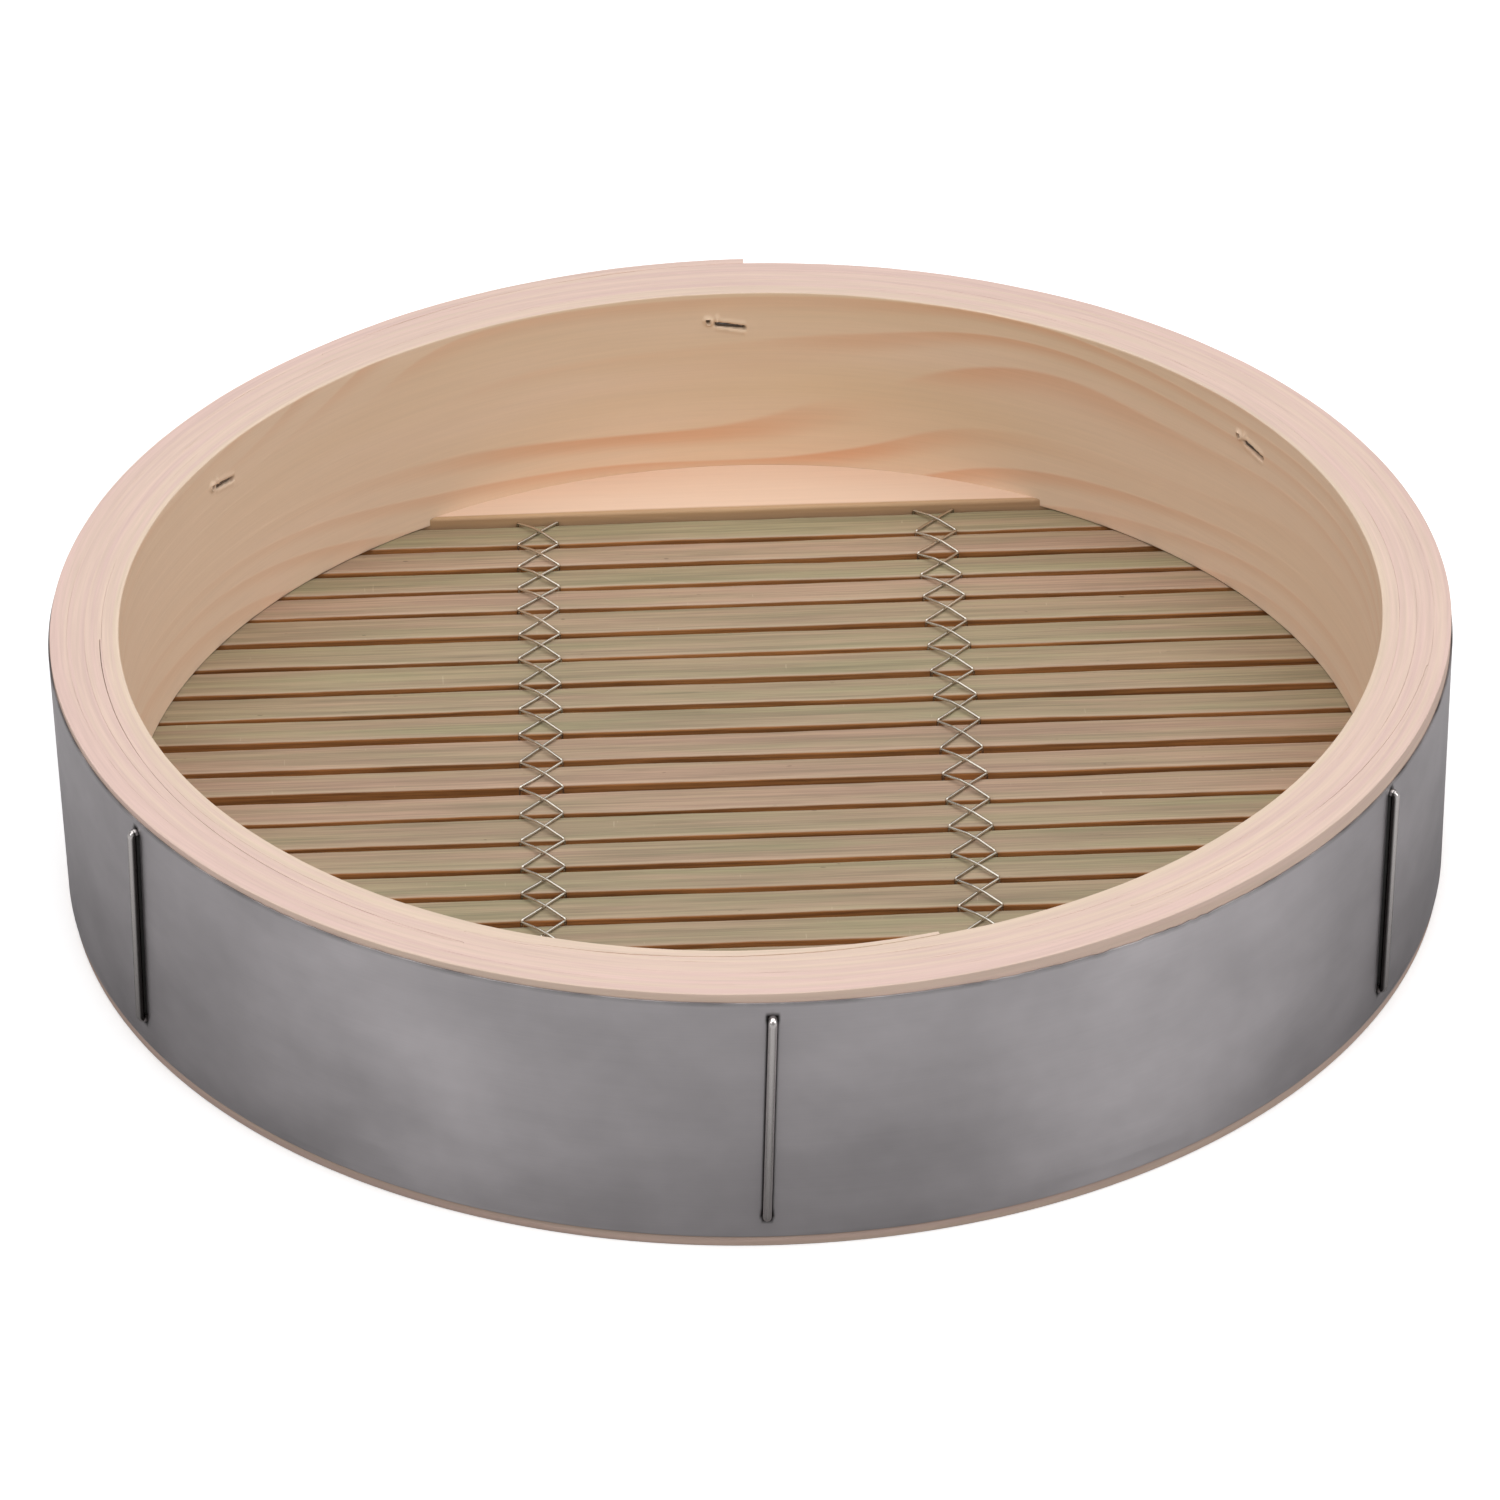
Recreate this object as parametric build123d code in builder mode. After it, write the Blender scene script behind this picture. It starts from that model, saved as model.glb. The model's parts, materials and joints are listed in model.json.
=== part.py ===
from build123d import *
from math import ceil, cos, pi, radians, sin
import os

# A round steamer tier: a wound wooden hoop in a steel band, with a floor of bamboo slats.
# Millimetres. The origin is on the hoop's axis at its base, +Z is up and the slats run along X.

# Hoop
outer_radius = 165.0
tier_height = 67.5
ply_thickness = 4.0
glue_line = 0.05
ply_pitch = ply_thickness + glue_line
inner_radius = outer_radius - 4 * ply_thickness - 3 * glue_line
lower_ring_top = 10.8
longest_arc = 90.0

# Exposed ends of the wound plies
hoop_end_azimuth = 88.5
hoop_end_step = 2.4
hoop_lap = 41.5
liner_end_azimuth = -76.0
liner_end_step = 1.1
liner_lap = 40.0
liner_outer_start = 184.0
liner_outer_lap = 60.5
hoop_inner_start = 300.0
hoop_inner_lap = 45.0
ring_inner_start = 10.0
ring_outer_start = 190.0
ring_lap = 35.0
open_scarf_gap = 0.35
blunt_tip = 0.3
tip_space = 0.1

# Steel band
band_thickness = 0.4
band_clearance = 0.04
band_bottom = 2.8
band_top = 64.45
band_top_fall = 1.45
band_front_rise = 0.8
band_start_azimuth = 100.0
band_lap = 10.5
band_lap_rise = 1.5
bridge_middle = 5.0
bridge_end = 11.0
bridge_share = 0.45

# Wire staples through the hoop, driven by hand: azimuth, lean of the foot, and height above the rest
staple_places = {
    "front": (-90.4, 0.7, 0.0),
    "front_right": (-31.0, 0.6, 0.0),
    "back_right": (32.4, 1.0, 0.0),
    "back": (91.3, 1.0, 0.0),
    "back_left": (150.1, 1.0, 0.0),
    "front_left": (211.4, 1.2, 1.4),
}
staple_wire = 2.0
staple_hole_clearance = 0.05
crown_clearance = 0.1
crown_top = 61.4
crown_bottom = 8.6
leg_drop = 2.9
prong_angle = 2.9
prong_drop = 1.3
prong_sunk = 1.6
crown_bend = 2.0
prong_bend = 1.6

# Floor: slats, end plates and crossbars
slat_thickness = 3.5
slat_edge_round = 0.6
slat_foot = lower_ring_top
slat_top = slat_foot + slat_thickness
liner_foot = slat_top
floor_radius = 154.5
plate_top = 16.5
plate_reach = {"front": 147.7, "back": 148.8}
plate_edge = 126.2
end_gap = 0.9
bar_offset = 51.0
bar_width = 9.0
bar_depth = 5.5
bar_edge_round = 0.6
notch_clearance = 0.1

# Gaps between the slats, from the back to the front: middle, and width at the left and right
gap_middles = [
    115.0, 104.0, 93.5, 83.0, 71.0, 59.5, 47.5, 36.0, 24.5, 12.0, 0.5,
    -11.0, -22.5, -34.0, -45.0, -56.5, -68.0, -79.5, -91.0, -103.0, -114.5,
]
gap_widths_left = [
    2.4, 2.0, 1.6, 1.6, 2.4, 1.7, 2.0, 1.6, 3.0, 2.2, 4.0,
    1.6, 1.6, 2.4, 2.2, 2.4, 2.0, 1.8, 2.2, 1.7, 2.0,
]
gap_widths_right = [
    1.6, 2.8, 1.8, 2.0, 2.4, 1.6, 2.9, 3.0, 1.8, 3.2, 2.0,
    1.8, 2.2, 1.8, 2.0, 2.2, 1.7, 2.2, 1.8, 2.0, 1.8,
]
half_span = 156.0

# Lashing wire
lash_wire = 0.7
lash_clearance = 0.05
lash_pair_offset = 0.4
lash_bend = 0.75
hump_bend = 3.0


def polar(radius, azimuth):
    return (radius * cos(radians(azimuth)), radius * sin(radians(azimuth)))


def polar_point(radius, azimuth, height):
    return (*polar(radius, azimuth), height)


def blend(x, x0, x1, y0, y1):
    """The value between y0 and y1 that x has between x0 and x1, held beyond them."""
    share = min(max((x - x0) / (x1 - x0), 0.0), 1.0)
    return y0 + share * (y1 - y0)


def outside_of_hoop(azimuth):
    """Outer radius of the wood, which climbs over the outer ply's own start."""
    past_end = (azimuth - hoop_end_azimuth) % 360
    return outer_radius + blend(past_end, 0, hoop_lap, hoop_end_step, 0)


def inside_of_liner(azimuth):
    """Inner radius of the wood, which steps inwards at the inner ply's own end."""
    past_end = (liner_end_azimuth - azimuth) % 360
    return inner_radius - blend(past_end, 0, liner_lap, liner_end_step, 0)


def wound_line(knots, start_azimuth, turn):
    """Arcs through knots of (angle along the winding, radius), inside a BuildLine."""
    for (angle_a, radius_a), (angle_b, radius_b) in zip(knots, knots[1:]):
        spans = max(1, ceil(abs(angle_b - angle_a) / longest_arc))
        for span in range(spans):
            points = []
            for share in (span / spans, (span + 0.5) / spans, (span + 1) / spans):
                angle = angle_a + share * (angle_b - angle_a)
                radius = radius_a + share * (radius_b - radius_a)
                points.append(polar(radius, start_azimuth + turn * angle))
            if angle_a == angle_b:
                Line(points[0], points[2])
            else:
                ThreePointArc(*points)


def wound_strip(name, inner, outer, start_azimuth, turn, foot, top):
    """A strip wound past a full turn, between its inner and outer knots."""
    with BuildPart() as strip:
        with BuildSketch(Plane.XY.offset(foot)):
            with BuildLine():
                wound_line(inner, start_azimuth, turn)
                wound_line(outer, start_azimuth, turn)
                Line(polar(inner[0][1], start_azimuth), polar(outer[0][1], start_azimuth))
                end_azimuth = start_azimuth + turn * inner[-1][0]
                Line(polar(inner[-1][1], end_azimuth), polar(outer[-1][1], end_azimuth))
            make_face()
        extrude(amount=top - foot)
    strip.part.label = name
    return strip


def scarfed_ply(name, layer, foot, top, start_azimuth, turn, lap,
                gap=glue_line, inner_tip=blunt_tip, outer_tip=blunt_tip,
                inner_step=0.0, outer_step=0.0):
    """One wooden ply whose two ends are pared to wedges that lie on each other."""
    inside = inner_radius + layer * ply_pitch
    outside = inside + ply_thickness
    first_top = inside - inner_step + inner_tip
    last_foot = outside + outer_step - outer_tip
    inner = [
        (0, inside - inner_step),
        (lap, inside),
        (360 - tip_space, inside),
        (360 - tip_space, first_top + gap),
        (360, first_top + gap),
        (360 + lap, last_foot),
    ]
    outer = [
        (0, first_top),
        (lap, last_foot - gap),
        (lap + tip_space, last_foot - gap),
        (lap + tip_space, outside),
        (360, outside),
        (360 + lap, outside + outer_step),
    ]
    return wound_strip(name, inner, outer, start_azimuth, turn, foot, top)


def staple_points(azimuth, lean, lift):
    """Corners of a staple: prong, leg, crown, leg and prong, from the top down."""
    low_azimuth = azimuth - lean
    top = crown_top + lift
    bottom = crown_bottom + lift
    surface = outside_of_hoop(azimuth) + band_clearance + band_thickness
    if 0 <= band_start_azimuth - azimuth <= band_lap + 1:
        surface += band_clearance + band_thickness
    crown = surface + crown_clearance + staple_wire / 2
    prong = inside_of_liner(azimuth) + prong_sunk - staple_wire / 2
    return [
        polar_point(prong, azimuth - prong_angle, top - leg_drop - prong_drop),
        polar_point(prong, azimuth, top - leg_drop),
        polar_point(crown, azimuth, top),
        polar_point(crown, low_azimuth, bottom),
        polar_point(prong, low_azimuth, bottom - leg_drop),
        polar_point(prong, low_azimuth - prong_angle, bottom - leg_drop - prong_drop),
    ]


def bent_wire(name, points, radii, wire_radius):
    """A round wire along straight runs joined by tangent arcs."""
    with BuildPart() as wire:
        with BuildLine():
            route = FilletPolyline(*points, radius=radii)
        with BuildSketch(Plane(origin=route @ 0, z_dir=route % 0)):
            Circle(wire_radius)
        sweep(path=route)
    wire.part.label = name
    expected = pi * wire_radius**2 * route.length
    print(f"{name}: length {route.length:.1f}, volume/expected "
          f"{wire.part.volume / expected:.4f}")
    return wire


def write(piece):
    export_step(piece.part, f"parts/{piece.part.label}.step")


os.makedirs("parts", exist_ok=True)

# Staples, and the same wires a little fatter to bore and groove what they pass through
staple_radii = [prong_bend, crown_bend, crown_bend, prong_bend]
staples = []
staple_cutters = []
hole_radius = staple_wire / 2 + staple_hole_clearance
for place, (azimuth, lean, lift) in staple_places.items():
    corners = staple_points(azimuth, lean, lift)
    staples.append(bent_wire(f"staple_{place}", corners, staple_radii, staple_wire / 2))
    staple_cutters.append(bent_wire(f"hole_{place}", corners, staple_radii, hole_radius))

# Crossbars, and end plates that are rebated round the rim to go under the liner
crossbars = []
for side, place in ((-1, "left"), (1, "right")):
    with BuildPart() as crossbar:
        with BuildSketch(Plane.XY.offset(slat_foot - bar_depth)):
            with Locations((side * bar_offset, 0)):
                Rectangle(bar_width, 2 * floor_radius)
            Circle(floor_radius, mode=Mode.INTERSECT)
        extrude(amount=bar_depth)
        under_edges = crossbar.edges().group_by(Axis.Z)[0].sort_by(SortBy.LENGTH)[-2:]
        fillet(under_edges, bar_edge_round)
    crossbar.part.label = f"crossbar_{place}"
    crossbars.append(crossbar)

end_plates = []
for side, place in ((-1, "front"), (1, "back")):
    with BuildPart() as end_plate:
        with BuildSketch(Plane.XY.offset(slat_foot)):
            Circle(floor_radius)
            with Locations((0, side * (plate_edge + floor_radius))):
                Rectangle(2 * floor_radius, 2 * floor_radius, mode=Mode.INTERSECT)
        extrude(amount=slat_thickness)
        with BuildSketch(Plane.XY.offset(slat_top)):
            Circle(plate_reach[place])
            with Locations((0, side * (plate_edge + floor_radius))):
                Rectangle(2 * floor_radius, 2 * floor_radius, mode=Mode.INTERSECT)
        extrude(amount=plate_top - slat_top)
    end_plate.part.label = f"end_plate_{place}"
    end_plates.append(end_plate)

# Hoop plies, from the inside out, and the two rings that clamp the floor between them
hoop_start = hoop_end_azimuth + hoop_lap
rings = [
    scarfed_ply("liner_inner_ply", 0, liner_foot, tier_height, liner_end_azimuth, -1, liner_lap,
                inner_tip=liner_end_step + glue_line, inner_step=liner_end_step),
    scarfed_ply("liner_outer_ply", 1, liner_foot, tier_height, liner_outer_start, 1,
                liner_outer_lap, gap=open_scarf_gap),
    scarfed_ply("hoop_inner_ply", 2, 0, tier_height, hoop_inner_start, 1, hoop_inner_lap),
    scarfed_ply("hoop_outer_ply", 3, 0, tier_height, hoop_start, -1, hoop_lap,
                outer_tip=hoop_end_step, outer_step=hoop_end_step),
    scarfed_ply("lower_ring_inner_ply", 0, 0, lower_ring_top, ring_inner_start, 1, ring_lap),
    scarfed_ply("lower_ring_outer_ply", 1, 0, lower_ring_top, ring_outer_start, 1, ring_lap),
]

# Steel band: it bridges the outer ply's end and its own ends lap under the back staple
band_seat = outer_radius + band_clearance
to_hoop_end = band_start_azimuth - hoop_end_azimuth
band_inner = [
    (0, outside_of_hoop(band_start_azimuth) + band_clearance),
    (to_hoop_end, band_seat + hoop_end_step),
    (to_hoop_end + bridge_middle, band_seat + bridge_share * hoop_end_step),
    (to_hoop_end + bridge_end, band_seat),
    (360 - (hoop_start - band_start_azimuth), band_seat),
    (360 - band_lap_rise, outside_of_hoop(band_start_azimuth + band_lap_rise) + band_clearance),
    (360, outside_of_hoop(band_start_azimuth) + 2 * band_clearance + band_thickness),
    (360 + band_lap,
     outside_of_hoop(band_start_azimuth - band_lap) + 2 * band_clearance + band_thickness),
]
band_outer = [(angle, radius + band_thickness) for angle, radius in band_inner]
band_blank = wound_strip("steel_band", band_inner, band_outer, band_start_azimuth, -1,
                         band_bottom, tier_height)
trim = Plane(
    origin=(0, 0, band_top),
    z_dir=(band_top_fall / outer_radius, band_front_rise / outer_radius, 1),
)
with BuildPart() as band:
    add(band_blank.part)
    split(bisect_by=trim, keep=Keep.BOTTOM)
band.part.label = "steel_band"
rings.append(band)

# Notches for the crossbar ends in the lower ring, and staple holes through every ring
with BuildPart() as notches:
    with BuildSketch(Plane.XY.offset(slat_foot - bar_depth - notch_clearance)):
        with Locations((-bar_offset, 0), (bar_offset, 0)):
            Rectangle(bar_width + 2 * notch_clearance, 2 * outer_radius)
        Circle(floor_radius + notch_clearance, mode=Mode.INTERSECT)
    extrude(amount=bar_depth + 2 * notch_clearance)

for ring in rings:
    cutters = list(staple_cutters)
    if ring.part.label.startswith("lower_ring"):
        cutters.append(notches)
    with BuildPart() as bored:
        add(ring.part)
        for cutter in cutters:
            add(cutter.part, mode=Mode.SUBTRACT)
    bored.part.label = ring.part.label
    write(bored)

for piece in staples + crossbars + end_plates:
    write(piece)

# Slats: each fills the space between two gaps, and its upper edges are rounded over
edges_left = [plate_edge - end_gap]
edges_right = [plate_edge - end_gap]
for middle, left, right in zip(gap_middles, gap_widths_left, gap_widths_right):
    edges_left += [middle + left / 2, middle - left / 2]
    edges_right += [middle + right / 2, middle - right / 2]
edges_left.append(end_gap - plate_edge)
edges_right.append(end_gap - plate_edge)

slat_count = len(gap_middles) + 1
for number in range(slat_count):
    back, front = 2 * number, 2 * number + 1
    with BuildPart() as slat:
        with BuildSketch(Plane.XY.offset(slat_foot)):
            with BuildLine():
                Polyline(
                    (-half_span, edges_left[back]),
                    (-half_span, edges_left[front]),
                    (half_span, edges_right[front]),
                    (half_span, edges_right[back]),
                    close=True,
                )
            make_face()
            Circle(floor_radius, mode=Mode.INTERSECT)
        extrude(amount=slat_thickness)
        long_edges = slat.edges().group_by(Axis.Z)[-1].sort_by(SortBy.LENGTH)[-2:]
        fillet(long_edges, slat_edge_round)
    slat.part.label = f"slat_{number + 1:02d}"
    write(slat)

# Lashing wires: two to a crossbar. Each crosses a slat, goes down in the gap, under the bar
# and up its other side, nearer the next slat. One of the pair rises over the other on the slat
# and the other passes below it under the bar.
side_reach = bar_width / 2 + lash_wire / 2 + lash_clearance
lash_foot = slat_foot - bar_depth - lash_wire / 2 - lash_clearance
lash_top = slat_top + lash_wire / 2 + 2 * lash_clearance
lash_step = lash_wire + lash_clearance
end_row = plate_edge - end_gap / 2
lash_rows = [end_row] + gap_middles + [-end_row]


def lash_points(centre, side, foot, hump):
    """Corners and bend radii of one wire that starts on the given side of its bar."""
    start = centre + side * side_reach
    end = centre - side * side_reach
    tail = centre + side * lash_wire
    points = [(tail, end_row, foot)]
    radii = []
    for row, next_row in zip(lash_rows, lash_rows[1:]):
        row_y = row if row == end_row else row - lash_pair_offset
        next_y = next_row if next_row == -end_row else next_row + lash_pair_offset
        points += [
            (start, row_y, foot),
            (start, row_y, lash_top),
            (centre, (row_y + next_y) / 2, hump),
            (end, next_y, lash_top),
            (end, next_y, foot),
        ]
        radii += [lash_bend, lash_bend, hump_bend, lash_bend, lash_bend]
    points.append((2 * centre - tail, -end_row, foot))
    return points, radii


for place, centre in (("left", -bar_offset), ("right", bar_offset)):
    for layer, side, foot, hump in (
        ("upper", -1, lash_foot, lash_top + lash_step),
        ("lower", 1, lash_foot - lash_step, lash_top + lash_clearance),
    ):
        corners, radii = lash_points(centre, side, foot, hump)
        lash = bent_wire(f"lashing_{place}_{layer}", corners, radii, lash_wire / 2)
        write(lash)
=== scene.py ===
"""A steamer tier for the studio: a wound wooden hoop in a steel band, six wire staples, and a
floor of bamboo slats lashed to two crossbars.

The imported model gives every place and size. Each sub-assembly is a class that reads its boxes,
works its surfaces out as whole numpy arrays and dresses them. All lengths are metres.
"""

import json
import logging
import math
from dataclasses import dataclass, field
from enum import Enum, IntEnum

import bpy
import numpy as np
from mathutils import Matrix, Vector

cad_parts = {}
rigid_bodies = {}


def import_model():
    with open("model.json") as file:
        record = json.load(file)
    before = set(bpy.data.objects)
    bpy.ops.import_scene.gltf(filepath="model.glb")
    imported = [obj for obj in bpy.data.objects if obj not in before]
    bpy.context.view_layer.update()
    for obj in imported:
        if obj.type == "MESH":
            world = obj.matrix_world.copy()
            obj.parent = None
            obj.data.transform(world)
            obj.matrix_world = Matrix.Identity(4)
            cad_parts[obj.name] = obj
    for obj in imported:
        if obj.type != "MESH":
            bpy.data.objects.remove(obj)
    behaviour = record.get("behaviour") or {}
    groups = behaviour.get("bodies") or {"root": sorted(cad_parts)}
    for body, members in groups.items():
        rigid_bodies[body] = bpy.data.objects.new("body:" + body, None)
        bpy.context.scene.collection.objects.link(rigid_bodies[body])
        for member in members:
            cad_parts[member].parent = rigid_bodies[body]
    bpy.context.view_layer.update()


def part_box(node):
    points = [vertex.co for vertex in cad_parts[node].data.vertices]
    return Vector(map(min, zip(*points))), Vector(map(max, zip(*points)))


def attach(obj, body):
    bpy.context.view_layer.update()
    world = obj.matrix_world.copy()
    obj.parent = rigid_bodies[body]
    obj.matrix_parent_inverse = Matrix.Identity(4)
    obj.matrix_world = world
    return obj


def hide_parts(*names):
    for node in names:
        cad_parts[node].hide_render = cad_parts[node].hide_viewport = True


Array = np.ndarray
Piece = bpy.types.Object
Socket = bpy.types.NodeSocket
Triple = tuple[float, float, float]
LOG = logging.getLogger("steamer_tier")
MM = 0.001
RIM_NODE = "hoop_outer_ply"
# Dark brown that paints shade inside the prongs' grooves and pinholes.
SOILED_WOOD = (0.060, 0.040, 0.026, 1)
# Dark steel for painted contact shade at the staples and for the band's darker upper edge line.
GRIME = (0.018, 0.014, 0.012, 1)
BAMBOO_SPECK = (0.10, 0.065, 0.035, 1)
BAMBOO_SCRATCH = (0.60, 0.50, 0.36, 1)
# Light colour that paints a highlight along each slat's front edge.
BAMBOO_RIM = (0.56, 0.40, 0.28, 1)


class Seed(IntEnum):
    """First seed of each kind of unevenness; a piece adds its own number to it."""

    BAND_JAG = 3
    BAND_NICK = 4
    BAND_WAVE = 5
    BAND_SOIL = 8
    PLY_CREST = 11
    PLY_WALL = 31
    SLAT_FRONT = 100
    SLAT_BACK = 200
    SLAT_TOP = 300
    PLATE = 400
    CROSSBAR = 500
    LASHING = 900


# ---------------------------------------------------------------- shapes


@dataclass(frozen=True)
class Section:
    """A closed rounded rectangle: shares of its width and height, plus offsets in metres."""

    across: Array
    up: Array
    across_offset: Array
    up_offset: Array

    @property
    def count(self) -> int:
        """How many points the closed section has."""
        return len(self.across)


def face_shares(rows: int) -> Array:
    """Shares from 0 to 1 along a flat face, with a close pair at each end to hold the rounding."""
    even = np.linspace(0, 1, rows + 1)
    near = 0.12 / rows
    return np.concatenate([[0, near], even[1:-1], [1 - near, 1]])


def rounded_section(
    rounding: tuple[float, float, float, float],
    side_rows: int = 4,
    level_rows: int = 4,
    arc_steps: int = 3,
    far_side_rows: int | None = None,
    low_side: Array | None = None,
) -> Section:
    """A rounded rectangle as one loop: low side upwards, top, high side downwards, foot.

    A straight run blends its two corner offsets; a corner is a quarter circle about a centre
    one radius inside it.

    Args:
        rounding: Radii at low-foot, low-top, high-top and high-foot.
        side_rows: Steps up the low side.
        level_rows: Steps along the top and the foot.
        arc_steps: Steps round each corner.
        far_side_rows: Steps down the high side, if they differ.
        low_side: Shares up the low side, if they are uneven.

    Returns:
        The section.
    """
    corners = np.array([(0, 0), (0, 1), (1, 1), (1, 0)], float)
    inward = np.array([(1, 1), (1, -1), (-1, -1), (-1, 1)])
    rows = [side_rows, level_rows, far_side_rows or side_rows, level_rows]
    parts: list[Array] = []
    for side in range(4):
        nxt = (side + 1) % 4
        share = (face_shares(rows[side]) if side or low_side is None else low_side)[:-1]
        start, end = corners[side], corners[nxt]
        run = end - start
        offset = np.outer(1 - share, run * rounding[side]) - np.outer(share, run * rounding[nxt])
        parts.append(np.hstack([start + share[:, None] * run, offset]))
        angle = np.radians(180 - 90 * side - np.arange(arc_steps) * 90 / arc_steps)
        arc = inward[nxt] * rounding[nxt] + rounding[nxt] * np.stack([np.cos(angle), np.sin(angle)], 1)
        parts.append(np.hstack([np.repeat(end[None], arc_steps, 0), arc]))
    return Section(*np.vstack(parts).T)


def carry_section(
    section: Section, low: Array, high: Array, foot: Array | float, top: Array | float, room: float
) -> tuple[Array, Array]:
    """Carries a section along its stations, with its own width and height at each.

    Where the strip is thinner than its rounding allows, the rounding shrinks with it.

    Args:
        section: The closed section.
        low: Low side's place at each station.
        high: High side's place at each station.
        foot: Lowest height, one number or one for each station.
        top: Highest height, one number or one for each station.
        room: The width below which the rounding starts to shrink.

    Returns:
        Two grids, of sideways place and height, with a row for each station.
    """
    foot, top = (np.broadcast_to(level, low.shape)[:, None] for level in (foot, top))
    width = (high - low)[:, None]
    shrink = np.clip(width / room, 0.05, 1.0)
    side = low[:, None] + width * section.across + shrink * section.across_offset
    height = foot + (top - foot) * section.up + shrink * section.up_offset
    return side, height


def tube_faces(rows: int, columns: int) -> list[Array]:
    """Faces of a grid whose columns close on themselves, with a many-sided cap at each end.

    Args:
        rows: Stations along the tube.
        columns: Points round each station.

    Returns:
        The quads as one array, then the two caps.
    """
    index = np.arange(rows * columns).reshape(rows, columns)
    beside = np.roll(index, -1, axis=1)
    quads = np.stack([index[:-1], index[1:], beside[1:], beside[:-1]], -1).reshape(-1, 4)
    return [quads, index[0][None, :], index[-1][::-1][None, :]]


def enclosed_volume(points: Array, quads: Array) -> float:
    """Signed volume between quads and the points' centre, positive if they face outwards.

    It is the sum of the tetrahedra on each quad's two triangles.
    """
    corner = (points - points.mean(0))[quads]
    first = np.einsum("ij,ij->i", corner[:, 0], np.cross(corner[:, 1], corner[:, 2]))
    second = np.einsum("ij,ij->i", corner[:, 0], np.cross(corner[:, 2], corner[:, 3]))
    return float((first + second).sum() / 6)


def link_object(name: str, data: bpy.types.ID) -> Piece:
    """A new object in the scene, at the origin."""
    item = bpy.data.objects.new(name, data)
    bpy.context.scene.collection.objects.link(item)
    return item


def solid_piece(
    name: str,
    points: Array,
    stations: int,
    finish: bpy.types.Material,
    strip: Array | None = None,
    crease: float = 40.0,
    **values: Array,
) -> Piece:
    """Puts a closed tube into a new object at the origin, facing outwards and smooth.

    Args:
        name: The piece's name.
        points: Vertex places, one row each, station after station.
        stations: How many stations the tube has.
        finish: The piece's material.
        strip: Strip coordinates at the vertices, for the vertex attribute of that name.
        crease: Edges that bend more than this many degrees stay sharp.
        **values: More vertex attributes, of one number each.

    Returns:
        The new object.
    """
    faces = tube_faces(stations, len(points) // stations)
    if enclosed_volume(points, faces[0]) < 0:
        faces = [block[:, ::-1] for block in faces]
    mesh = bpy.data.meshes.new(name)
    mesh.from_pydata(points.tolist(), [], [row for block in faces for row in block.tolist()])
    if strip is not None:
        layer = mesh.attributes.new("strip", "FLOAT_VECTOR", "POINT")
        layer.data.foreach_set("vector", strip.astype(np.float32).ravel())
    for key, rows in values.items():
        layer = mesh.attributes.new(key, "FLOAT", "POINT")
        layer.data.foreach_set("value", rows.astype(np.float32).ravel())
    mesh.polygons.foreach_set("use_smooth", np.ones(len(mesh.polygons), bool))
    mesh.set_sharp_from_angle(angle=math.radians(crease))
    mesh.materials.append(finish)
    return link_object(name, mesh)


def settle(piece: Piece, node: str) -> None:
    """Rides a piece on the root body in place of its CAD node, and logs it.

    Args:
        piece: The finished piece.
        node: The CAD node that it stands for.
    """
    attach(piece, "root")
    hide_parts(node)
    LOG.info("%s: %d faces, for %s", piece.name, len(piece.data.polygons), node)


def node_points(node: str) -> Array:
    """A CAD node's vertices, one row each."""
    mesh = bpy.data.objects[node].data
    co = np.empty(3 * len(mesh.vertices), np.float32)
    mesh.vertices.foreach_get("co", co)
    return co.reshape(-1, 3).astype(float)


def ripple(place: Array, seed: int, waves: int = 5, longest: float = 0.2) -> Array:
    """A smooth uneven line: a few sines of falling length with seeded phases.

    Args:
        place: Where along the line, in metres.
        seed: Picks the phases.
        waves: How many sines are added.
        longest: The first sine's length in metres.

    Returns:
        Values of about -1 to 1.
    """
    draw = np.random.default_rng(seed)
    total = np.zeros_like(place, dtype=float)
    for order in range(waves):
        length = longest / 1.9**order * draw.uniform(0.8, 1.2)
        total += 0.62**order * np.sin(2 * np.pi * place / length + draw.uniform(0, 2 * np.pi))
    return total / 1.9


def bell(distance: Array, width: float, power: int = 2) -> Array:
    """1 at no distance, falling to 1/e at the width; a higher power gives a flatter crown."""
    return np.exp(-((distance / width) ** power))


def degrees_apart(azimuth: Array, other: float | Array) -> Array:
    """The turn from one azimuth to another in degrees, from -180 to 180."""
    return (azimuth - other + 180) % 360 - 180


def vertex_rows(*grids: Array | float) -> Array:
    """Three grids that broadcast together, as rows of three."""
    return np.stack(np.broadcast_arrays(*grids), -1).reshape(-1, 3)


def polar(radius: Array, azimuth: Array, height: Array) -> Array:
    """Places from radius, azimuth in degrees and height, as rows of three."""
    turn = np.radians(azimuth)
    return vertex_rows(radius * np.cos(turn), radius * np.sin(turn), height)


def soften(points: Array, rounds: int) -> Array:
    """Rounds a polyline's corners: each pass keeps the points at 1/4 and 3/4 of every run."""
    for _ in range(rounds):
        first = 0.75 * points[:-1] + 0.25 * points[1:]
        second = 0.25 * points[:-1] + 0.75 * points[1:]
        middle = np.stack([first, second], 1).reshape(-1, 3)
        points = np.vstack([points[:1], middle, points[-1:]])
    return points


def guard_corners(points: Array, reach: float) -> Array:
    """Adds a point just before and just after each corner, so softening stays near it.

    Args:
        points: The polyline's corners.
        reach: How far the added points stand from the corner.

    Returns:
        The polyline with three points for each inner corner.
    """
    run = np.diff(points, axis=0)
    length = np.linalg.norm(run, axis=1, keepdims=True)
    share = np.minimum(reach, 0.45 * length) / length
    after = points[:-1] + run * share
    before = points[1:] - run * share
    inner = np.stack([before[:-1], points[1:-1], after[1:]], 1).reshape(-1, 3)
    return np.vstack([points[:1], after[:1], inner, before[-1:], points[-1:]])


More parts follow.
